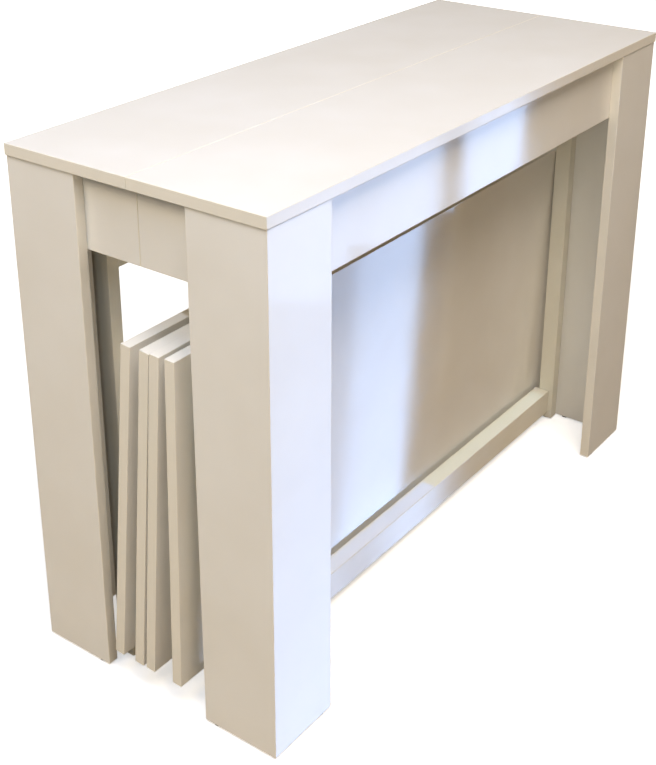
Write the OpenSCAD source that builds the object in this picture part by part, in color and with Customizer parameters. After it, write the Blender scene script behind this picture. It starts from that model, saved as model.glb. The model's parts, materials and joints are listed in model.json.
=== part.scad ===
// Extendable console table, shown closed, with four extension leaves stored inside.
// Origin: on the floor, under the middle of the closed table. +X along the length,
// -Y towards the side that pulls out, +Z up. Sizes are in millimetres.

/* [Table] */

// Height of the top surface above the floor
table_height = 760; // [700:1:800]
// Length of the table top, end to end
table_length = 1030; // [900:5:1200]
// Depth of one half top, from its outer edge to the seam
half_depth = 212; // [200:1:240]
// Gap between the two halves at the seam when closed
seam_gap = 0.4; // [0.3:0.1:1]
// How far the tops stand out over the legs
overhang = 1.5; // [0:0.5:4]

/* [Boards] */

// Thickness of the half tops
top_thickness = 16; // [12:1:22]
// Thickness of the leg and apron boards
board = 16; // [12:1:19]
// Rounding of the board edges
edge_radius = 1; // [0.5:0.1:2]
// Width of the leg board that faces the end
leg_side_width = 120; // [90:1:125]
// Width of the leg board that faces the front or the back
leg_face_width = 121; // [90:1:150]
// Height of the aprons under the tops
apron_height = 105; // [95:1:130]
// Thickness of the glides under the legs and the rack
glide_height = 3; // [2:0.5:5]
// Diameter of a glide
glide_diameter = 14; // [10:1:15]
// Distance of a glide from the free end of its board
glide_inset = 18; // [12:1:30]

/* [Runners] */

// Travel of one stage
stage_travel = 250; // [200:5:255]
// Height of a runner profile
rail_height = 44; // [40:1:50]
// Width of a runner profile
rail_width = 11.6; // [11:0.1:13]
// Play on every side between one runner and the next
rail_play = 0.4; // [0.3:0.05:0.5]
// Gap between the end of a runner and the apron
rail_end_gap = 2.5; // [1:0.5:6]
// Wall of the runner chambers
rail_wall = 1.6; // [1.2:0.1:2]
// Thickness of the lips that hold a runner tongue
lip = 2; // [1.5:0.1:2.4]
// Height of the neck of a tongue
neck_height = 4; // [3:0.5:5]
// Height of the head of a tongue
head_height = 9; // [8:0.5:10]
// Thickness of the head of a tongue
head_thickness = 3; // [2.5:0.1:3.4]
// Distance of the tongues above and below the middle of the profile
tongue_offset = 11; // [10.5:0.5:12]
// Thickness of the end caps, which are the stops
cap_thickness = 3; // [2:0.5:5]
// Thickness of the packing strip between back apron and first runner
packing_thickness = 2; // [1.5:0.5:4]
// Length of the packing strips
packing_length = 166; // [120:1:170]
// Thickness of the cleats that carry the last runner
cleat_thickness = 16; // [12:1:22]

/* [Leaves] */

// Width of one extension leaf
leaf_width = 500; // [450:5:510]
// Thickness of a leaf
leaf_thickness = 16; // [12:1:18]
// Height of the lowest edge of a stored leaf above the floor
leaf_bottom = 36; // [34:1:46]
// Lean of leaf A, the rearmost, in degrees
lean_a = 5.6; // [4.8:0.1:6.2]
// Lean of leaf B, in degrees
lean_b = 4.9; // [4.7:0.1:5.6]
// Lean of leaf C, in degrees
lean_c = 4.4; // [3.8:0.1:4.6]
// Lean of leaf D, the front one, in degrees
lean_d = 1.7; // [0.5:0.1:2.5]
// Gap between a leaf and the frame of the rack that it stands against
leaf_gap = 0.8; // [0.6:0.1:1.5]
// Gap between the tops of leaf C and leaf D
top_gap_cd = 9.4; // [5:0.1:11]
// Gap between the tops of leaf B and leaf C
top_gap_bc = 1; // [0.8:0.1:3]

/* [Leaf rack] */

// Gap between each end of the rack and the leg boards, when the rack hangs in the middle
rack_end_gap = 9.5; // [8.5:0.5:20]
// How far the rack hangs off the middle towards +X
rack_shift = 7; // [0:0.5:8]
// Distance of the rack's front face from the seam
rack_front = 93; // [89:1:98]
// Distance of the rack's rear face from the seam
rack_rear = 103; // [98:1:108]
// Width of an upright as seen from the front
rack_board = 20; // [16:1:22]
// Depth of the frame boards from front to rear
rack_board_depth = 28; // [23:1:30]
// Gap between the top of the rack and the side aprons
rack_top_gap = 3; // [2:0.5:8]
// Lower edge of the bottom boards above the floor
rack_rail_bottom = 15; // [12:1:20]
// Upper edge of the bottom boards, which shows as a ledge
rack_ledge = 60; // [56:1:66]
// Gap between leaf D and the front bottom board, at the board's upper edge
ledge_gap = 7; // [4:0.5:14]
// Height of the top boards of the rack
rack_top_board = 30; // [24:1:40]
// Width of a bearer that holds the leaves
bearer_width = 30; // [20:1:40]
// Distance of the outer bearers from the middle
bearer_x = 330; // [250:5:380]
// Play between a leaf and its slot
slot_play = 0.6; // [0.4:0.1:1]
// Height of the bearers' upper side above the floor
bearer_top = 56; // [50:1:60]
// Height that a bearer keeps in front of leaf D, above the leaf's edge
front_step = 3; // [1:0.5:6]
// Thickness of the steel posts between rack and middle runner
post_thickness = 8; // [6:0.5:11]

/* [Hardware] */

// Length of a bracket arm
bracket_arm = 40; // [30:1:50]
// Height of a bracket
bracket_height = 44; // [36:1:46]
// Thickness of the bracket steel
bracket_thickness = 2.5; // [1.5:0.1:3]
// Distance of the bracket above the lower edge of the apron
bracket_rise = 10; // [6:1:12]
// Distance of a bracket screw from the arm's free end
screw_inset = 14; // [12:1:18]
// Height between the two screws of an arm
screw_pitch = 22; // [16:1:26]
// Diameter of a screw shank
screw_diameter = 4; // [3:0.5:5]
// Length of a screw in the board
screw_depth = 12; // [8:1:13]
// Diameter of a screw head
screw_head = 8; // [7:0.5:9]
// Height of a screw head
screw_head_height = 2.4; // [1.8:0.1:3]
// Radial play of a screw in its pilot hole
screw_play = 0.05; // [0.02:0.01:0.1]
// Radial play of a screw in the bracket
bracket_play = 0.25; // [0.1:0.05:0.4]

/* [Hidden] */

$fn = 32;
cut = 1;
half_gap = seam_gap / 2;
top_bottom = table_height - top_thickness;
leg_x = table_length / 2 - overhang;
leg_y = half_depth - overhang;
side_x = leg_x - board;
side_inner_x = side_x - board;
face_y = leg_y - board;
face_inner_y = face_y - board;
apron_bottom = top_bottom - apron_height;

last = 8; // the front half's runner; runner 0 is the back half's, 1 to 7 lie between
middle = last / 2;
pitch = rail_width + rail_play;
rail_length = 2 * (face_inner_y - rail_end_gap);
rail_x = side_inner_x - packing_thickness;
rail_mid_z = top_bottom - rail_play - rail_height / 2;
rail_bottom = rail_mid_z - rail_height / 2;
groove_depth = lip + head_thickness + 2 * rail_play;
tongue_length = rail_length - cap_thickness - stage_travel - rail_play;
chamber_low = tongue_offset + head_height / 2 + rail_play + rail_wall;
chamber_high = rail_height / 2 - rail_wall;
core_half = tongue_offset - head_height / 2 - rail_play - 2 * rail_wall;
function outer_x(i) = rail_x - pitch * i;
function inner_x(i) = outer_x(i) - rail_width;
middle_x = (outer_x(middle) + inner_x(middle)) / 2;

rack_x = side_x - rack_end_gap;
rack_height = apron_bottom - rack_top_gap;
rack_inner_x = rack_x - rack_board;
front_frame_y = rack_front - rack_board_depth;
rear_frame_y = rack_rear - rack_board_depth;
function frame_y(sy) = sy < 0 ? front_frame_y : rear_frame_y;

top_d = leaf_gap - front_frame_y;
top_c = top_d + leaf_thickness + top_gap_cd;
top_b = top_c + leaf_thickness + top_gap_bc;
leaf_a_y = rear_frame_y - leaf_gap - leaf_thickness * cos(lean_a);
leaf_b_y = top_b + leaf_width * sin(lean_b);
leaf_c_y = top_c + leaf_width * sin(lean_c);
leaf_d_y = top_d + leaf_width * sin(lean_d);
ledge_y = ledge_gap + (rack_ledge - leaf_bottom) * tan(lean_d) - leaf_d_y;

bracket_bottom = apron_bottom + bracket_rise;
screw_low = bracket_bottom + (bracket_height - screw_pitch) / 2;

white = [0.93, 0.91, 0.87];
edge_white = [0.96, 0.94, 0.9];
alloy = [0.75, 0.76, 0.78];
steel = [0.6, 0.61, 0.63];
dark = [0.15, 0.15, 0.16];
pale = [0.86, 0.83, 0.76];

// A rectangle from the origin with all four corners rounded.
module rounded_rect(w, h, r = edge_radius) {
    translate([r, 0]) square([w - 2 * r, h]);
    translate([0, r]) square([w, h - 2 * r]);
    for (x = [r, w - r], y = [r, h - r])
        translate([x, y]) circle(r);
}

// Turns a shape made for the +X, +Y corner to the corner with signs sx and sy.
module at_corner(sx, sy) {
    mirror([sx < 0 ? 1 : 0, 0, 0])
        mirror([0, sy < 0 ? 1 : 0, 0])
            children();
}

// A board that runs along X, with its long edges rounded.
module long_board(length, depth, thickness) {
    translate([-length / 2, 0, 0])
        rotate([90, 0, 90])
            linear_extrude(length)
                rounded_rect(depth, thickness);
}

// Half top for the side with sign sy, which ends at the seam.
module half_top(sy) {
    color(white)
        at_corner(1, sy)
            translate([0, half_gap, top_bottom])
                long_board(table_length, half_depth - half_gap, top_thickness);
}

// Outline of a leg board from its outer corner, cut at 45 degrees where two boards meet.
module mitred_outline(width) {
    difference() {
        rounded_rect(board, width);
        polygon([[-cut, -cut], [board + cut, board + cut], [board + cut, -cut]]);
    }
}

// Leg board that faces the end of the table.
module leg_side(sx, sy) {
    color(white)
        at_corner(sx, sy)
            translate([leg_x, leg_y, glide_height])
                mirror([1, 0, 0])
                    mirror([0, 1, 0])
                        linear_extrude(top_bottom - glide_height)
                            mitred_outline(leg_side_width);
}

// Leg board that faces the front or the back of the table.
module leg_face(sx, sy) {
    color(white)
        at_corner(sx, sy)
            translate([leg_x, leg_y, glide_height])
                mirror([1, 0, 0])
                    mirror([0, 1, 0])
                        linear_extrude(top_bottom - glide_height)
                            mirror([1, -1, 0])
                                mitred_outline(leg_face_width);
}

// Places its children at the two screw heights of a bracket arm.
module screw_heights() {
    for (z = [screw_low, screw_low + screw_pitch])
        translate([0, 0, z]) children();
}

// Pilot holes of the screws that go into the long apron of one corner.
module long_apron_holes() {
    screw_heights()
        translate([side_inner_x - bracket_arm + screw_inset, face_inner_y, 0])
            rotate([-90, 0, 0])
                translate([0, 0, -cut])
                    cylinder(r = screw_diameter / 2 + screw_play, h = screw_depth + cut);
}

// Pilot holes of the screws that go into the side apron of one corner.
module side_apron_holes() {
    screw_heights()
        translate([side_inner_x, face_inner_y - bracket_arm + screw_inset, 0])
            rotate([0, 90, 0])
                translate([0, 0, -cut])
                    cylinder(r = screw_diameter / 2 + screw_play, h = screw_depth + cut);
}

module long_apron(sy) {
    color(white)
        difference() {
            at_corner(1, sy)
                translate([-side_x, face_inner_y, apron_bottom])
                    cube([2 * side_x, board, apron_height]);
            for (sx = [-1, 1]) at_corner(sx, sy) long_apron_holes();
        }
}

module side_apron(sx, sy) {
    color(white)
        at_corner(sx, sy)
            difference() {
                translate([side_inner_x, half_gap, apron_bottom])
                    cube([board, face_inner_y - half_gap, apron_height]);
                side_apron_holes();
            }
}

// Angle bracket in the corner of the two aprons.
module bracket(sx, sy) {
    at_corner(sx, sy)
        difference() {
            translate([side_inner_x, face_inner_y, bracket_bottom])
                mirror([1, 0, 0])
                    mirror([0, 1, 0])
                        linear_extrude(bracket_height) {
                            square([bracket_arm, bracket_thickness]);
                            square([bracket_thickness, bracket_arm]);
                        }
            screw_heights() {
                translate([side_inner_x - bracket_arm + screw_inset, face_inner_y + cut, 0])
                    rotate([90, 0, 0])
                        cylinder(r = screw_diameter / 2 + bracket_play,
                                 h = bracket_thickness + 2 * cut);
                translate([side_inner_x + cut, face_inner_y - bracket_arm + screw_inset, 0])
                    rotate([0, -90, 0])
                        cylinder(r = screw_diameter / 2 + bracket_play,
                                 h = bracket_thickness + 2 * cut);
            }
        }
}

module brackets(sy) {
    color(steel)
        for (sx = [-1, 1]) bracket(sx, sy);
}

// A screw that points along +Z, with the seat of its head at the origin.
module screw() {
    cylinder(d = screw_diameter, h = bracket_thickness + screw_depth - 2 * screw_play);
    translate([0, 0, -screw_head_height * 0.4])
        cylinder(d = screw_head, h = screw_head_height * 0.4);
    translate([0, 0, -screw_head_height])
        cylinder(d1 = screw_head * 0.7, d2 = screw_head, h = screw_head_height * 0.6);
}

module screws(sy) {
    color(steel)
        for (sx = [-1, 1])
            at_corner(sx, sy)
                screw_heights() {
                    translate([side_inner_x - bracket_arm + screw_inset,
                               face_inner_y - bracket_thickness, 0])
                        rotate([-90, 0, 0]) screw();
                    translate([side_inner_x - bracket_thickness,
                               face_inner_y - bracket_arm + screw_inset, 0])
                        rotate([0, 90, 0]) screw();
                }
}

// A round glide with a softened rim, standing on the floor.
module glide() {
    rim = glide_height / 3;
    cylinder(d1 = glide_diameter - 2 * rim, d2 = glide_diameter, h = rim);
    translate([0, 0, rim]) cylinder(d = glide_diameter, h = glide_height - rim);
}

module leg_glides(sy) {
    color(dark)
        for (sx = [-1, 1])
            at_corner(sx, sy) {
                translate([leg_x - board / 2, leg_y - leg_side_width + glide_inset, 0]) glide();
                translate([leg_x - leg_face_width + glide_inset, leg_y - board / 2, 0]) glide();
            }
}

// Section of a runner body with its outer face on x = 0 and its middle on y = 0.
module rail_section(grooved) {
    difference() {
        translate([-rail_width, -rail_height / 2]) square([rail_width, rail_height]);
        if (grooved) {
            for (s = [-1, 1])
                translate([0, s * tongue_offset]) {
                    translate([-lip - cut, -neck_height / 2 - rail_play])
                        square([lip + 2 * cut, neck_height + 2 * rail_play]);
                    translate([-groove_depth, -head_height / 2 - rail_play])
                        square([groove_depth - lip, head_height + 2 * rail_play]);
                    translate([rail_wall - rail_width, -head_height / 2])
                        square([rail_width - groove_depth - 2 * rail_wall, head_height]);
                }
        }
        for (z = [-1, 1])
            translate([rail_wall - rail_width, z > 0 ? z * chamber_low : -chamber_high])
                square([rail_width - 2 * rail_wall, chamber_high - chamber_low]);
        translate([rail_wall - rail_width, -core_half])
            square([rail_width - 2 * rail_wall, 2 * core_half]);
    }
}

// Section of the two tongues on the inner face of a runner.
module tongue_section() {
    neck = 2 * rail_play + lip;
    for (s = [-1, 1])
        translate([-rail_width, s * tongue_offset]) {
            translate([-neck - cut, -neck_height / 2]) square([neck + 2 * cut, neck_height]);
            translate([-neck - head_thickness, -head_height / 2])
                square([head_thickness, head_height]);
        }
}

// Runner number i on the +X side. Number 0 belongs to the back half.
module rail(i) {
    cap = i > 0 ? cap_thickness : 0;
    translate([outer_x(i), rail_length / 2 - cap, rail_mid_z])
        rotate([90, 0, 0])
            linear_extrude(rail_length - cap)
                rail_section(i > 0);
    if (i < last)
        translate([outer_x(i), tongue_length - rail_length / 2, rail_mid_z])
            rotate([90, 0, 0])
                linear_extrude(tongue_length)
                    tongue_section();
}

module rail_pair(i) {
    color(alloy)
        for (sx = [-1, 1]) at_corner(sx, 1) rail(i);
}

// Caps on the rear ends of the runners. The tongue before stops against them.
module cap_pair(i) {
    color(dark)
        for (sx = [-1, 1])
            at_corner(sx, 1)
                translate([inner_x(i), rail_length / 2 - cap_thickness, rail_bottom])
                    cube([rail_width, cap_thickness, rail_height]);
}

module back_rail_packing() {
    color(dark)
        for (sx = [-1, 1])
            at_corner(sx, 1)
                translate([rail_x, face_inner_y - rail_end_gap - packing_length,
                           rail_bottom + rail_wall])
                    cube([packing_thickness, packing_length, rail_height - 2 * rail_wall]);
}

// Wooden cleats under the front top, on the inner side of the last runners.
module front_rail_cleats() {
    color(pale)
        for (sx = [-1, 1])
            at_corner(sx, -1)
                translate([inner_x(last) - cleat_thickness, half_gap + rail_end_gap, rail_bottom])
                    cube([cleat_thickness, face_inner_y - half_gap - rail_end_gap,
                          top_bottom - rail_bottom]);
}

// A leaf that leans forwards, with its lower front edge at y. The slots of the bearers use
// the same shape, made larger all round by clear.
module leaf(y, lean, clear = 0) {
    translate([0, y, leaf_bottom])
        rotate([lean, 0, 0])
            translate([0, -clear, -clear])
                long_board(table_length + 2 * clear, leaf_thickness + 2 * clear,
                           leaf_width + 2 * clear);
}

module stored_leaf(y, lean) {
    color(white) leaf(y, lean);
}

module upright(sx, sy) {
    color(edge_white)
        translate([rack_shift, 0, 0])
            at_corner(sx, sy)
                translate([rack_inner_x, frame_y(sy), glide_height])
                    linear_extrude(rack_height - glide_height)
                        rounded_rect(rack_board, rack_board_depth);
}

// A long board of the rack between two uprights, from z = low to z = high, with its
// inner face at the distance y from the seam.
module rack_long_board(sy, y, low, high) {
    color(edge_white)
        at_corner(1, sy)
            translate([rack_shift, y, low])
                long_board(2 * rack_inner_x, rack_board_depth, high - low);
}

// Ties between the two top boards, right under the posts.
module rack_ties() {
    color(edge_white)
        for (sx = [-1, 1])
            at_corner(sx, 1)
                translate([middle_x - rack_board / 2, -front_frame_y,
                           rack_height - rack_top_board])
                    cube([rack_board, front_frame_y + rear_frame_y, rack_top_board]);
}

// Three bearers between the bottom boards, with a leaning slot for each leaf.
// Their front ends are lower, so that they stay out of sight behind the ledge.
module rack_bearers() {
    color(pale)
        difference() {
            for (x = [-bearer_x, 0, bearer_x])
                translate([x - bearer_width / 2, -ledge_y, rack_rail_bottom])
                    cube([bearer_width, ledge_y + rear_frame_y,
                          bearer_top - rack_rail_bottom]);
            translate([-rack_x, -ledge_y - cut, leaf_bottom + front_step])
                cube([2 * rack_x, ledge_y + cut + leaf_d_y, bearer_top]);
            leaf(leaf_a_y, lean_a, slot_play);
            leaf(leaf_b_y, lean_b, slot_play);
            leaf(leaf_c_y, lean_c, slot_play);
            leaf(leaf_d_y, lean_d, slot_play);
        }
}

// Steel posts that hang the rack on the middle pair of runners.
module rack_posts() {
    color(steel)
        for (sx = [-1, 1], sy = [-1, 1])
            at_corner(sx, sy)
                translate([middle_x - post_thickness / 2, frame_y(sy), rack_height])
                    cube([post_thickness, rack_board_depth, rail_bottom - rack_height]);
}

module rack_glides() {
    color(dark)
        for (sx = [-1, 1], sy = [-1, 1])
            translate([rack_shift + sx * (rack_inner_x + rack_board / 2),
                       sy * (frame_y(sy) + rack_board_depth / 2), 0])
                glide();
}

half_top(1);  // back_top
long_apron(1);  // back_long_apron
side_apron(-1, 1);  // back_left_apron
side_apron(1, 1);  // back_right_apron
leg_side(-1, 1);  // back_left_leg_side
leg_face(-1, 1);  // back_left_leg_face
leg_side(1, 1);  // back_right_leg_side
leg_face(1, 1);  // back_right_leg_face
rail_pair(0);  // back_rails
back_rail_packing();
brackets(1);  // back_brackets
screws(1);  // back_screws
leg_glides(1);  // back_glides
half_top(-1);  // front_top
long_apron(-1);  // front_long_apron
side_apron(-1, -1);  // front_left_apron
side_apron(1, -1);  // front_right_apron
leg_side(-1, -1);  // front_left_leg_side
leg_face(-1, -1);  // front_left_leg_face
leg_side(1, -1);  // front_right_leg_side
leg_face(1, -1);  // front_right_leg_face
rail_pair(last);  // front_rails
cap_pair(last);  // front_rail_caps
front_rail_cleats();
brackets(-1);  // front_brackets
screws(-1);  // front_screws
leg_glides(-1);  // front_glides
rail_pair(1);  // rails_1
cap_pair(1);  // caps_1
rail_pair(2);  // rails_2
cap_pair(2);  // caps_2
rail_pair(3);  // rails_3
cap_pair(3);  // caps_3
rail_pair(middle);  // rails_4
cap_pair(middle);  // caps_4
rail_pair(5);  // rails_5
cap_pair(5);  // caps_5
rail_pair(6);  // rails_6
cap_pair(6);  // caps_6
rail_pair(7);  // rails_7
cap_pair(7);  // caps_7
upright(-1, -1);  // rack_front_left_upright
upright(1, -1);  // rack_front_right_upright
upright(-1, 1);  // rack_rear_left_upright
upright(1, 1);  // rack_rear_right_upright
rack_long_board(-1, ledge_y, rack_rail_bottom, rack_ledge);  // rack_front_bottom_board
rack_long_board(1, rear_frame_y, rack_rail_bottom, rack_ledge);  // rack_rear_bottom_board
rack_long_board(-1, front_frame_y, rack_height - rack_top_board, rack_height);  // rack_front_top_board
rack_long_board(1, rear_frame_y, rack_height - rack_top_board, rack_height);  // rack_rear_top_board
rack_ties();
rack_bearers();
rack_posts();
rack_glides();
stored_leaf(leaf_a_y, lean_a);  // leaf_a
stored_leaf(leaf_b_y, lean_b);  // leaf_b
stored_leaf(leaf_c_y, lean_c);  // leaf_c
stored_leaf(leaf_d_y, lean_d);  // leaf_d
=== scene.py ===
import json
import math

import bmesh
import bpy
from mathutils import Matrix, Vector


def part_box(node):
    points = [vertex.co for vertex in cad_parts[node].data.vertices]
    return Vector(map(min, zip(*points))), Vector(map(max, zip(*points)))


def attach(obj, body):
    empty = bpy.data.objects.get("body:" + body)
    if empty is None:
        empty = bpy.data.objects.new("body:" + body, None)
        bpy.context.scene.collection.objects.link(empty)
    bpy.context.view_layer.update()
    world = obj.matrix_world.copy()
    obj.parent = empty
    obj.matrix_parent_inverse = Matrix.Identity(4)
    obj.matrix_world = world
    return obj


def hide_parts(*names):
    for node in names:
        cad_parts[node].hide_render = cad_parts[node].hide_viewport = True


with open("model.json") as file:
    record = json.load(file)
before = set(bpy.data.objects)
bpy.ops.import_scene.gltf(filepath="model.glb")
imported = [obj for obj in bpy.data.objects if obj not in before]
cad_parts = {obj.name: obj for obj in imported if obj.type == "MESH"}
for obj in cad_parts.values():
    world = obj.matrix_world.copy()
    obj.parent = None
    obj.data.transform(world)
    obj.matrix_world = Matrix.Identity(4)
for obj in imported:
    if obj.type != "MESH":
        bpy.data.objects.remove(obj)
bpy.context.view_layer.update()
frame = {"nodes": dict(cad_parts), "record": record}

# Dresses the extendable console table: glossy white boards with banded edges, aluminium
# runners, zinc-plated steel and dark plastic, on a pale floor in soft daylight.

MM = 0.001
MICRON = 1e-6

# The photograph's frame, and the camera solved from the table's straight edges
FRAME_WIDTH = 656
FRAME_HEIGHT = 765
FOCAL_PIXELS = 1320.6
PRINCIPAL_X = 316.2
PRINCIPAL_Y = 230.0
SENSOR = 36.0
CAMERA_PLACE = (-1.54142, -1.04739, 1.28609)
CAMERA_TURN = (67.736, 0.092, -53.212)


# Finishes

def paint(colour):
    """Linear red, green, blue and alpha of an sRGB hex colour."""
    parts = [int(colour[i:i + 2], 16) / 255 for i in (1, 3, 5)]
    return [c / 12.92 if c <= 0.04045 else ((c + 0.055) / 1.055) ** 2.4 for c in parts] + [1.0]


def add(tree, kind, values=None, links=None, **settings):
    """Adds a node with its settings, its values and its links, and returns it."""
    node = tree.nodes.new(kind)
    for name, value in settings.items():
        setattr(node, name, value)
    for name, value in (values or {}).items():
        node.inputs[name].default_value = value
    for name, socket in (links or {}).items():
        tree.links.new(socket, node.inputs[name])
    return node


def empty_tree(owner):
    """The node tree of a material or world, without nodes."""
    owner.use_nodes = True
    owner.node_tree.nodes.clear()
    return owner.node_tree


def start_material(name, colour, **shader_values):
    """A material with its shader, and the object coordinates that its patterns use."""
    material = bpy.data.materials.new(name)
    tree = empty_tree(material)
    place = add(tree, "ShaderNodeTexCoord").outputs["Object"]
    values = {"Base Color": paint(colour)}
    values.update({key.replace("_", " "): value for key, value in shader_values.items()})
    shader = add(tree, "ShaderNodeBsdfPrincipled", values)
    add(tree, "ShaderNodeOutputMaterial", links={"Surface": shader.outputs["BSDF"]})
    return material, tree, place, shader


# Most of a noise lies between these values
NOISE_LOW, NOISE_HIGH = 0.3, 0.7


def mottle(tree, place, size, detail=2.0):
    """Noise whose patches measure about size metres. A tuple gives the size along X, Y and Z."""
    sizes = size if isinstance(size, tuple) else (size, size, size)
    spot = add(tree, "ShaderNodeMapping", {"Scale": [1 / s for s in sizes]}, {"Vector": place})
    return add(tree, "ShaderNodeTexNoise", {"Scale": 1.0, "Detail": detail, "Roughness": 0.5},
               {"Vector": spot.outputs["Vector"]}).outputs["Fac"]


def between(tree, noise, low, high):
    """Stretches the middle of a noise over the values from low to high."""
    return add(tree, "ShaderNodeMapRange",
               {"From Min": NOISE_LOW, "From Max": NOISE_HIGH, "To Min": low, "To Max": high},
               {"Value": noise}).outputs["Result"]


# The sockets of a Mix node that mixes colours
MIX_FACTOR, MIX_FIRST, MIX_SECOND, MIX_RESULT = 0, 6, 7, 2


def tint(tree, shader, noise, first, second):
    """Lets a noise move the base colour between two close tones."""
    blend = add(tree, "ShaderNodeMix", {MIX_FIRST: paint(first), MIX_SECOND: paint(second)},
                {MIX_FACTOR: between(tree, noise, 0.0, 1.0)}, data_type="RGBA")
    tree.links.new(blend.outputs[MIX_RESULT], shader.inputs["Base Color"])


def roughen(tree, shader, noise, low, high):
    """Lets a noise move the roughness from low to high."""
    tree.links.new(between(tree, noise, low, high), shader.inputs["Roughness"])


def relief(tree, shader, *layers):
    """Bumps from pairs of a noise and its height in metres, laid over each other."""
    normal = None
    for noise, height in layers:
        bump = add(tree, "ShaderNodeBump", {"Strength": 1.0, "Distance": height}, {"Height": noise})
        if normal:
            tree.links.new(normal, bump.inputs["Normal"])
        normal = bump.outputs["Normal"]
    tree.links.new(normal, shader.inputs["Normal"])


def gloss_melamine():
    # Melamine foil with a high-gloss lacquer, pressed on particle board: a hard, deep gloss
    # that mirrors a window. The chips below leave a faint swell, and the lacquer dried with a
    # fine orange peel, so that reflections are a little soft and their edges waver.
    material, tree, place, shader = start_material(
        "gloss_melamine", "#F2EFE9", IOR=1.54, Roughness=0.055)
    tint(tree, shader, mottle(tree, place, 120 * MM), "#F0EDE6", "#F4F2ED")
    roughen(tree, shader, mottle(tree, place, 70 * MM, 3.0), 0.045, 0.07)
    relief(tree, shader, (mottle(tree, place, 14 * MM), 12 * MICRON),
           (mottle(tree, place, 3.5 * MM), 2 * MICRON))
    return material


def edge_band():
    # ABS edge banding, 1 mm thick, glued on, scraped round and buffed: a little creamier and
    # duller than the faces, with the fine marks of the scraper, drawn 1.2 mm wide so that
    # they show.
    material, tree, place, shader = start_material(
        "edge_band", "#F1ECDF", IOR=1.53, Roughness=0.095)
    tint(tree, shader, mottle(tree, place, 90 * MM), "#F0EBDE", "#F2EDE1")
    roughen(tree, shader, mottle(tree, place, 30 * MM, 3.0), 0.08, 0.115)
    relief(tree, shader, (mottle(tree, place, 12 * MM), 4 * MICRON),
           (mottle(tree, place, 1.2 * MM), 0.5 * MICRON))
    return material


def wrapped_board():
    # The rack's boards are fibreboard wrapped in a glossy cream-white foil: a warmer white than
    # the leaves' and a sheen that is hardly softer, since windows show in it with clear edges.
    # The fibres below swell the foil in wide spots, and its fine grain is drawn at 1.6 mm so
    # that it shows.
    material, tree, place, shader = start_material(
        "wrapped_board", "#EEEADB", IOR=1.5, Roughness=0.085)
    tint(tree, shader, mottle(tree, place, 90 * MM), "#EDE8D7", "#F0ECDF")
    roughen(tree, shader, mottle(tree, place, 50 * MM, 3.0), 0.07, 0.1)
    relief(tree, shader, (mottle(tree, place, 10 * MM), 5 * MICRON),
           (mottle(tree, place, 1.6 * MM), 1 * MICRON))
    return material


def mill_aluminium():
    # Aluminium pressed through a die and left as it came: silvery, with fine lines and slightly
    # duller streaks along the profile, which spread highlights across it. The finest lines are
    # drawn 0.7 mm wide so that they show.
    material, tree, place, shader = start_material(
        "mill_aluminium", "#C6C9CC", Metallic=1.0, Roughness=0.32)
    streaks = mottle(tree, place, (1.6 * MM, 250 * MM, 1.6 * MM), 3.0)
    tint(tree, shader, streaks, "#BDC0C4", "#D0D3D5")
    roughen(tree, shader, mottle(tree, place, (4 * MM, 400 * MM, 4 * MM), 3.0), 0.25, 0.4)
    relief(tree, shader, (streaks, 20 * MICRON),
           (mottle(tree, place, (0.7 * MM, 80 * MM, 0.7 * MM)), 6 * MICRON))
    return material


def zinc_plate():
    # Steel sheet with a bright zinc plating: a bluish grey shine with faint straw-coloured
    # clouds from the passivation bath and fine rolling marks, drawn 0.8 mm wide so that they
    # show.
    material, tree, place, shader = start_material(
        "zinc_plate", "#BFC3C7", Metallic=1.0, Roughness=0.34)
    tint(tree, shader, mottle(tree, place, 12 * MM, 3.0), "#B9C0C8", "#CBC8BB")
    roughen(tree, shader, mottle(tree, place, 6 * MM, 3.0), 0.27, 0.42)
    relief(tree, shader, (mottle(tree, place, (0.8 * MM, 0.8 * MM, 20 * MM)), 6 * MICRON))
    return material


def moulded_plastic():
    # Polypropylene moulded in a spark-eroded steel tool: a dark grey with an even fine grain
    # that breaks its gloss, drawn at 0.7 mm so that it shows.
    material, tree, place, shader = start_material(
        "moulded_plastic", "#2B2B2E", IOR=1.49, Roughness=0.5)
    tint(tree, shader, mottle(tree, place, 8 * MM), "#28282B", "#303034")
    roughen(tree, shader, mottle(tree, place, 3 * MM, 3.0), 0.43, 0.58)
    relief(tree, shader, (mottle(tree, place, 0.7 * MM), 30 * MICRON))
    return material


def planed_spruce():
    # Spruce battens, planed and left bare: pale yellow early wood and browner late wood in
    # lines about 3 mm apart along the batten, matt, with raised grain. Its fibres are drawn
    # 0.6 mm wide so that they show.
    material, tree, place, shader = start_material(
        "planed_spruce", "#DFC598", IOR=1.5, Roughness=0.6)
    rings = mottle(tree, place, (3 * MM, 120 * MM, 3 * MM), 3.0)
    tint(tree, shader, rings, "#E8D3AB", "#CDA973")
    roughen(tree, shader, rings, 0.68, 0.5)
    relief(tree, shader, (rings, 60 * MICRON),
           (mottle(tree, place, (0.6 * MM, 20 * MM, 0.6 * MM)), 40 * MICRON))
    return material


FACE = gloss_melamine()
BAND = edge_band()
WRAP = wrapped_board()
ALUMINIUM = mill_aluminium()
ZINC = zinc_plate()
PLASTIC = moulded_plastic()
SPRUCE = planed_spruce()


# Pieces

X, Y, Z = Vector((1, 0, 0)), Vector((0, 1, 0)), Vector((0, 0, 1))
BODY = {node: body for body, nodes in frame["record"]["behaviour"]["bodies"].items()
        for node in nodes}

# Every edge that turns by more than CORNER is a corner of a board or profile, and triangles
# that turn by less than FLAT are one face
CORNER = math.radians(40)
FLAT = math.radians(1)
SAME_POINT = 0.01 * MM
# How square a face stands to a board's flat side to carry its finish
SQUARE_ON = 0.985
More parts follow.
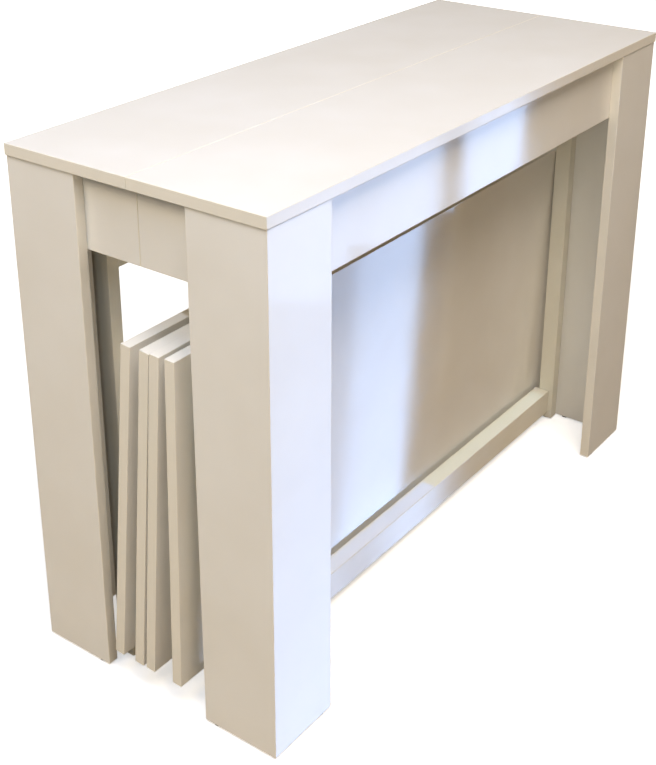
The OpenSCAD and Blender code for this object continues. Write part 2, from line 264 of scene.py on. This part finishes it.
# A mitred face slopes by this much along X and Y, and is larger than this in square metres
MITRE_SLOPE = 0.6
MITRE_AREA = 0.001
# The weight at which the large faces alone set the shading of a rounded edge
LARGE_FACES_RULE = 100


def merged(node):
    """A copy of a CAD node's mesh with its triangles joined to flat faces."""
    mesh = bmesh.new()
    mesh.from_mesh(frame["nodes"][node].data)
    bmesh.ops.remove_doubles(mesh, verts=mesh.verts, dist=SAME_POINT)
    bmesh.ops.dissolve_limit(mesh, angle_limit=FLAT, verts=mesh.verts, edges=mesh.edges)
    return mesh


def round_edges(mesh, radius, shortest=0.0, segments=3, keep_sharp=None):
    """Rounds the corner edges that are longer than shortest."""
    mesh.normal_update()
    edges = [e for e in mesh.edges
             if len(e.link_faces) == 2 and e.calc_face_angle() > CORNER
             and e.calc_length() > shortest and not (keep_sharp and keep_sharp(e))]
    bmesh.ops.bevel(mesh, geom=edges, offset=radius, offset_type="OFFSET", affect="EDGES",
                    segments=segments, profile=0.5, clamp_overlap=True, material=-1)


def finish_piece(mesh, node, materials, flat_side=None):
    """Makes the piece that stands for a node. Faces square to flat_side take the first
    material and all others, the narrow edges, the second."""
    mesh.normal_update()
    for face in mesh.faces:
        face.smooth = True
        if flat_side:
            face.material_index = 0 if abs(face.normal.dot(flat_side)) > SQUARE_ON else 1
    for edge in mesh.edges:
        edge.smooth = len(edge.link_faces) == 2 and edge.calc_face_angle() < CORNER
    name = "finished_" + node
    data = bpy.data.meshes.new(name)
    mesh.to_mesh(data)
    mesh.free()
    for material in materials:
        data.materials.append(material)
    piece = bpy.data.objects.new(name, data)
    bpy.context.scene.collection.objects.link(piece)
    shading = piece.modifiers.new("Even shading", "WEIGHTED_NORMAL")
    shading.weight = LARGE_FACES_RULE
    shading.keep_sharp = True
    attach(piece, BODY[node])
    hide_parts(node)


def touches_mitre(edge):
    """True for an edge of a face that stands at 45 degrees to the boards."""
    return any(abs(f.normal.x) > MITRE_SLOPE and abs(f.normal.y) > MITRE_SLOPE
               and f.calc_area() > MITRE_AREA for f in edge.link_faces)


# The stored leaves' lean in degrees
LEAN = {"leaf_a": 5.6, "leaf_b": 4.9, "leaf_c": 4.4, "leaf_d": 1.7}
END_ROUNDING = 0.8 * MM
APRON_ROUNDING = 1.0 * MM
PILOT_HOLE_EDGE = 5 * MM
# Words in a node's name, then its slot, finish, rounding and the shortest edge to be rounded
SMALL_PARTS = (
    (("rails",), "aluminium_runner", ALUMINIUM, 0.25 * MM, 5 * MM),
    (("bracket", "screw", "posts"), "zinc_steel", ZINC, 0.4 * MM, 4 * MM),
    (("caps", "glides", "packing"), "dark_plastic", PLASTIC, 0.5 * MM, 2 * MM),
    (("cleats", "bearers"), "plain_wood", SPRUCE, 0.8 * MM, 6 * MM))

for half in ("back", "front"):
    mesh = merged(half + "_top")
    round_edges(mesh, END_ROUNDING)
    finish_piece(mesh, half + "_top", [FACE, BAND], Z)
    for side in ("left", "right"):
        for board, flat in (("leg_side", X), ("leg_face", Y)):
            node = f"{half}_{side}_{board}"
            mesh = merged(node)
            round_edges(mesh, END_ROUNDING, keep_sharp=touches_mitre)
            finish_piece(mesh, node, [FACE, BAND], flat)
    for board, flat in (("long_apron", Y), ("left_apron", X), ("right_apron", X)):
        node = f"{half}_{board}"
        mesh = merged(node)
        round_edges(mesh, APRON_ROUNDING, shortest=PILOT_HOLE_EDGE)
        finish_piece(mesh, node, [FACE, BAND], flat)

for node, lean in LEAN.items():
    mesh = merged(node)
    round_edges(mesh, END_ROUNDING)
    tilt = math.radians(lean)
    finish_piece(mesh, node, [FACE, BAND],
                 Vector((0, math.cos(tilt), math.sin(tilt))))

for node in BODY:
    if node.startswith("rack_") and node.endswith(("upright", "board", "ties")):
        mesh = merged(node)
        round_edges(mesh, END_ROUNDING)
        finish_piece(mesh, node, [WRAP])
        continue
    for words, slot, finish, rounding, shortest in SMALL_PARTS:
        if any(word in node for word in words):
            mesh = merged(node)
            round_edges(mesh, rounding, shortest=shortest, segments=2)
            finish_piece(mesh, node, [finish])
            break


# Stage

def stage_piece(name, mesh, material):
    """An object of the scene that is no part of the table."""
    data = bpy.data.meshes.new(name)
    mesh.to_mesh(data)
    mesh.free()
    data.materials.append(material)
    piece = bpy.data.objects.new(name, data)
    bpy.context.scene.collection.objects.link(piece)
    return piece


def stage_sheet(name, corners, material):
    """A flat sheet between four corners that the camera doesn't see."""
    mesh = bmesh.new()
    mesh.faces.new([mesh.verts.new(corner) for corner in corners])
    sheet = stage_piece(name, mesh, material)
    sheet.visible_camera = False
    sheet.visible_transmission = False
    return sheet


def seen_by_camera(tree, path):
    """1 for rays of the camera, also through glass, and 0 for all others."""
    return add(tree, "ShaderNodeMath", links={0: path.outputs["Is Camera Ray"],
                                              1: path.outputs["Is Transmission Ray"]},
               operation="MAXIMUM").outputs["Value"]


PLAIN_WHITE = "#FFFFFF"
BLACK = "#000000"
# What the floor sends back to the boards: the warm grey of a wooden floor in daylight
FLOOR_TO_BOARDS = "#C2AF94"
FLOOR_HALF = 15.0

# The floor lifts itself to plain white far from the table, and near it only so far that the
# table's soft shadow stays to be seen.
NEAR, FAR = 0.9, 2.4
NEAR_LIFT, FAR_LIFT = 0.5, 1.0

floor_material = bpy.data.materials.new("pale_floor")
tree = empty_tree(floor_material)
seen = seen_by_camera(tree, add(tree, "ShaderNodeLightPath"))
place = add(tree, "ShaderNodeTexCoord").outputs["Object"]
away = add(tree, "ShaderNodeVectorMath", links={0: place}, operation="LENGTH")
lift_by_place = add(tree, "ShaderNodeMapRange",
                    {"From Min": NEAR, "From Max": FAR, "To Min": NEAR_LIFT, "To Max": FAR_LIFT},
                    {"Value": away.outputs["Value"]}, interpolation_type="SMOOTHSTEP")
white = add(tree, "ShaderNodeBsdfDiffuse", {"Color": paint(PLAIN_WHITE)})
lift = add(tree, "ShaderNodeEmission", {"Color": paint(PLAIN_WHITE)},
           {"Strength": lift_by_place.outputs["Result"]})
lifted = add(tree, "ShaderNodeAddShader",
             links={0: white.outputs["BSDF"], 1: lift.outputs["Emission"]})
warm = add(tree, "ShaderNodeBsdfDiffuse", {"Color": paint(FLOOR_TO_BOARDS)})
both = add(tree, "ShaderNodeMixShader",
           links={0: seen, 1: warm.outputs["BSDF"], 2: lifted.outputs["Shader"]})
add(tree, "ShaderNodeOutputMaterial", links={"Surface": both.outputs["Shader"]})
mesh = bmesh.new()
bmesh.ops.create_grid(mesh, x_segments=1, y_segments=1, size=FLOOR_HALF)
floor = stage_piece("floor", mesh, floor_material)
floor.visible_glossy = False


def mirrored_sheet(name, corners, colour, strength, one_sided=False):
    """A glowing sheet between four corners that only reflections see, so that it adds no
    light to the boards. A one-sided sheet is clear from behind."""
    material = bpy.data.materials.new(name)
    tree = empty_tree(material)
    glow = add(tree, "ShaderNodeEmission", {"Color": paint(colour), "Strength": strength})
    surface = glow.outputs["Emission"]
    if one_sided:
        behind = add(tree, "ShaderNodeNewGeometry").outputs["Backfacing"]
        clear = add(tree, "ShaderNodeBsdfTransparent").outputs["BSDF"]
        surface = add(tree, "ShaderNodeMixShader",
                      links={0: behind, 1: surface, 2: clear}).outputs["Shader"]
    add(tree, "ShaderNodeOutputMaterial", links={"Surface": surface})
    sheet = stage_sheet(name, corners, material)
    sheet.visible_diffuse = False
    sheet.visible_shadow = False


# The floor in the table's own shade, as the glossy boards mirror it
SHADE_X, SHADE_FRONT, SHADE_REAR = 0.5, -0.085, 0.2
SHADE_LIFT = 0.5 * MM
SHADED_FLOOR = "#6E6252"
mirrored_sheet("shaded_floor",
               [(-SHADE_X, SHADE_FRONT, SHADE_LIFT), (SHADE_X, SHADE_FRONT, SHADE_LIFT),
                (SHADE_X, SHADE_REAR, SHADE_LIFT), (-SHADE_X, SHADE_REAR, SHADE_LIFT)],
               SHADED_FLOOR, 1.0)

# The dark gap behind the ledge of the front bottom board, as leaf D mirrors it. The board
# itself is left out of reflections, so that the window shows in leaf D down to its foot.
ledge_low, ledge_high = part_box("rack_front_bottom_board")
GAP_SHADE = "#4A4238"
GAP_BEHIND, GAP_DROP = 1 * MM, 4.5 * MM
gap_y = ledge_high[1] + GAP_BEHIND
gap_top = ledge_high[2] - GAP_DROP
mirrored_sheet("shaded_gap",
               [(ledge_low[0], gap_y, ledge_low[2]), (ledge_high[0], gap_y, ledge_low[2]),
                (ledge_high[0], gap_y, gap_top), (ledge_low[0], gap_y, gap_top)],
               GAP_SHADE, 1.0)
bpy.data.objects["finished_rack_front_bottom_board"].visible_glossy = False

# Painted reflections on the level edges: glowing sheets above them that only reflections see and
# that are clear from above. Over the ledge they paint the foot of leaf D, bluish at the left where
# the window shows in it, and over the upper edges of the leaves a painted highlight of the bright
# back of the room. They hang so high that a look from lower down passes below them.
SHEET_RISE = 12 * MM
LEDGE_FRONT, LEDGE_REAR = 7 * MM, 6 * MM
LEDGE_SPLIT = 0.088
LEDGE_PAINTED_BLUE_GLEAM, LEDGE_PAINTED_BLUE_GLEAM_STRENGTH = "#61ABFF", 6.0
LEDGE_PAINTED_PALE_GLEAM, LEDGE_PAINTED_PALE_GLEAM_STRENGTH = "#BCF6FF", 1.65
LEAF_TOPS_RIGHT = -0.39
LEAF_TOPS_REAR = 24 * MM
LEAF_TOPS_PAINTED_HIGHLIGHT, LEAF_TOPS_PAINTED_HIGHLIGHT_STRENGTH = "#F4F8FF", 2.4


def sheet_above(name, left, right, front, rear, top, colour, strength):
    """A glowing sheet that faces down, above a level edge, and paints a reflection on it."""
    height = top + SHEET_RISE
    mirrored_sheet(name, [(left, front, height), (left, rear, height), (right, rear, height),
                          (right, front, height)], colour, strength, one_sided=True)


# Painted reflections on the ledge: bluish at its left part, pale over the rest
for name, left, right, colour, strength in (
        ("painted_blue_gleam_on_ledge", ledge_low[0], LEDGE_SPLIT, LEDGE_PAINTED_BLUE_GLEAM, LEDGE_PAINTED_BLUE_GLEAM_STRENGTH),
        ("painted_pale_gleam_on_ledge", LEDGE_SPLIT, ledge_high[0], LEDGE_PAINTED_PALE_GLEAM, LEDGE_PAINTED_PALE_GLEAM_STRENGTH)):
    sheet_above(name, left, right, ledge_low[1] + LEDGE_FRONT, ledge_high[1] + LEDGE_REAR,
                ledge_high[2], colour, strength)
rear_leaf_low, rear_leaf_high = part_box("leaf_a")
# A painted highlight along the upper edges of the leaves
sheet_above("painted_highlight_on_leaf_tops", rear_leaf_low[0], LEAF_TOPS_RIGHT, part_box("leaf_d")[0][1],
            rear_leaf_high[1] + LEAF_TOPS_REAR, rear_leaf_high[2], LEAF_TOPS_PAINTED_HIGHLIGHT,
            LEAF_TOPS_PAINTED_HIGHLIGHT_STRENGTH)


def side_veil(name, node, gap, margin, height, foot, head):
    """A sheet close to a node's left side, from its top down, that isn't seen and holds back a
    part of the light, from foot at its lower edge to head at its upper edge, so that a shade
    gets as deep as in the photograph."""
    material = bpy.data.materials.new(name)
    tree = empty_tree(material)
    place = add(tree, "ShaderNodeTexCoord").outputs["Generated"]
    up = add(tree, "ShaderNodeSeparateXYZ", links={"Vector": place}).outputs["Z"]
    squared = add(tree, "ShaderNodeMath", {1: 2.0}, {0: up}, operation="POWER").outputs["Value"]
    density = add(tree, "ShaderNodeMapRange", {"To Min": foot, "To Max": head},
                  {"Value": squared}).outputs["Result"]
    clear = add(tree, "ShaderNodeBsdfTransparent").outputs["BSDF"]
    black = add(tree, "ShaderNodeBsdfDiffuse", {"Color": paint(BLACK)}).outputs["BSDF"]
    mixed = add(tree, "ShaderNodeMixShader", links={0: density, 1: clear, 2: black})
    add(tree, "ShaderNodeOutputMaterial", links={"Surface": mixed.outputs["Shader"]})
    low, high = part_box(node)
    x = low[0] - gap
    front, rear = low[1] - margin, high[1] + margin
    bottom = high[2] - height
    sheet = stage_sheet(name, [(x, front, bottom), (x, rear, bottom), (x, rear, high[2]),
                               (x, front, high[2])], material)
    sheet.visible_glossy = False


# The rear left upright close to the leg, and the shade of the tops' overhang on the left side:
# name, node, gap, margin and height of the veil, and its densities at the foot and at the head
VEILS = (
    ("veil_at_upright", "rack_rear_left_upright", 6 * MM, 5 * MM, 630 * MM, 0.72, 0.72),
    ("veil_at_back_apron", "back_left_apron", 2 * MM, 0.0, 36 * MM, 0.0, 1.0),
    ("veil_at_back_leg", "back_left_leg_side", 1 * MM, 0.0, 3.5 * MM, 0.15, 0.6),
    ("veil_at_front_apron", "front_left_apron", 2 * MM, 0.0, 36 * MM, 0.0, 1.0),
    ("veil_at_front_leg", "front_left_leg_side", 1 * MM, 0.0, 3.5 * MM, 0.15, 0.6))
for veil in VEILS:
    side_veil(*veil)

# The window of the room, far off to the front right, as the glossy fronts mirror it. The
# mirrored rays point down, to where the floor mirrors the window once more, so these panes
# reach below the floor: name, turns to the right and left edge from +X to -Y and heights of the
# lower and upper edge, all in degrees as seen from the table, and strength
PANE_DISTANCE = 30.0
DAYLIGHT = "#B1D0FF"
PANES = (
    ("far_left_pane", 36.0, 41.0, -50.0, -24.5, 7.4),
    ("upper_left_pane", 36.0, 41.0, -24.5, 0.0, 8.8),
    ("left_pane", 31.5, 36.0, -22.0, 0.0, 7.8),
    ("window_bar", 30.5, 31.5, -22.0, 0.0, 1.0),
    ("right_pane", 27.7, 30.5, -22.0, 0.0, 7.8),
    ("low_left_pane", 33.8, 36.0, -50.0, -22.0, 5.0),
    ("low_pane", 30.6, 33.8, -50.0, -22.0, 8.0),
    ("window_itself", 27.7, 41.0, 24.0, 38.0, 12.0))
for name, right_turn, left_turn, low, high, strength in PANES:
    corners = [(right_turn, low), (left_turn, low), (left_turn, high), (right_turn, high)]
    mirrored_sheet(name, [(PANE_DISTANCE * math.cos(math.radians(turn)),
                           -PANE_DISTANCE * math.sin(math.radians(turn)),
                           PANE_DISTANCE * math.tan(math.radians(height)))
                          for turn, height in corners], DAYLIGHT, strength)

# The room's light from all sides, and what the glossy boards mirror of the room
ROOM_LIGHT, ROOM_STRENGTH = "#FFF5E0", 0.11
ROOM_GLOSS, GLOSS_STRENGTH = "#FFF1E0", 0.35
world = bpy.data.worlds.new("Room")
bpy.context.scene.world = world
tree = empty_tree(world)
path = add(tree, "ShaderNodeLightPath")
seen = seen_by_camera(tree, path)
room, gloss, white = [
    add(tree, "ShaderNodeBackground", {"Color": paint(colour), "Strength": strength})
    for colour, strength in ((ROOM_LIGHT, ROOM_STRENGTH), (ROOM_GLOSS, GLOSS_STRENGTH),
                             (PLAIN_WHITE, 1.0))]
light = add(tree, "ShaderNodeMixShader", links={0: path.outputs["Is Glossy Ray"],
                                                1: room.outputs["Background"],
                                                2: gloss.outputs["Background"]})
shown = add(tree, "ShaderNodeMixShader", links={0: seen, 1: light.outputs["Shader"],
                                                2: white.outputs["Background"]})
add(tree, "ShaderNodeOutputWorld", links={"Surface": shown.outputs["Shader"]})

# Soft square lamps: name, place, the point they face, side length, power in watts and colour
LAMPS = (
    ("sky_above", (-0.9, -0.1, 2.36), (-0.2, 0.0, 0.7), 1.2, 13.9, "#8DC0FF"),
    ("warm_ceiling", (-0.7, -1.4, 3.2), (0.0, 0.0, 0.3), 1.5, 77, "#FFF1E2"),
    ("high_left", (-2.3, 0.6, 2.5), (-0.3, 0.0, 0.6), 0.8, 24, "#FFECD2"),
    ("low_left", (-4.0, -1.2, 1.3), (0.0, -0.2, 0.4), 1.2, 29, "#F8FFFB"),
    ("back_fill", (2.2, 3.2, 2.0), (0.0, 0.0, 0.4), 2.0, 38, "#FFFFFD"))
for name, place, target, side, power, colour in LAMPS:
    data = bpy.data.lights.new(name, "AREA")
    data.shape = "SQUARE"
    data.size = side
    data.energy = power
    data.color = paint(colour)[:3]
    lamp = bpy.data.objects.new(name, data)
    lamp.location = place
    lamp.rotation_euler = (Vector(target) - Vector(place)).to_track_quat("-Z", "Y").to_euler()
    lamp.visible_camera = False
    bpy.context.scene.collection.objects.link(lamp)
# The fill light behind the table isn't mirrored in its top
bpy.data.objects["back_fill"].visible_glossy = False

camera_data = bpy.data.cameras.new("Camera")
camera_data.sensor_width = SENSOR
camera_data.lens = FOCAL_PIXELS * SENSOR / FRAME_HEIGHT
camera_data.shift_x = (FRAME_WIDTH / 2 - PRINCIPAL_X) / FRAME_HEIGHT
camera_data.shift_y = (PRINCIPAL_Y - FRAME_HEIGHT / 2) / FRAME_HEIGHT
camera = bpy.data.objects.new("Camera", camera_data)
camera.location = CAMERA_PLACE
camera.rotation_euler = [math.radians(a) for a in CAMERA_TURN]
bpy.context.scene.collection.objects.link(camera)
bpy.context.scene.camera = camera
bpy.context.scene.view_settings.view_transform = "Standard"
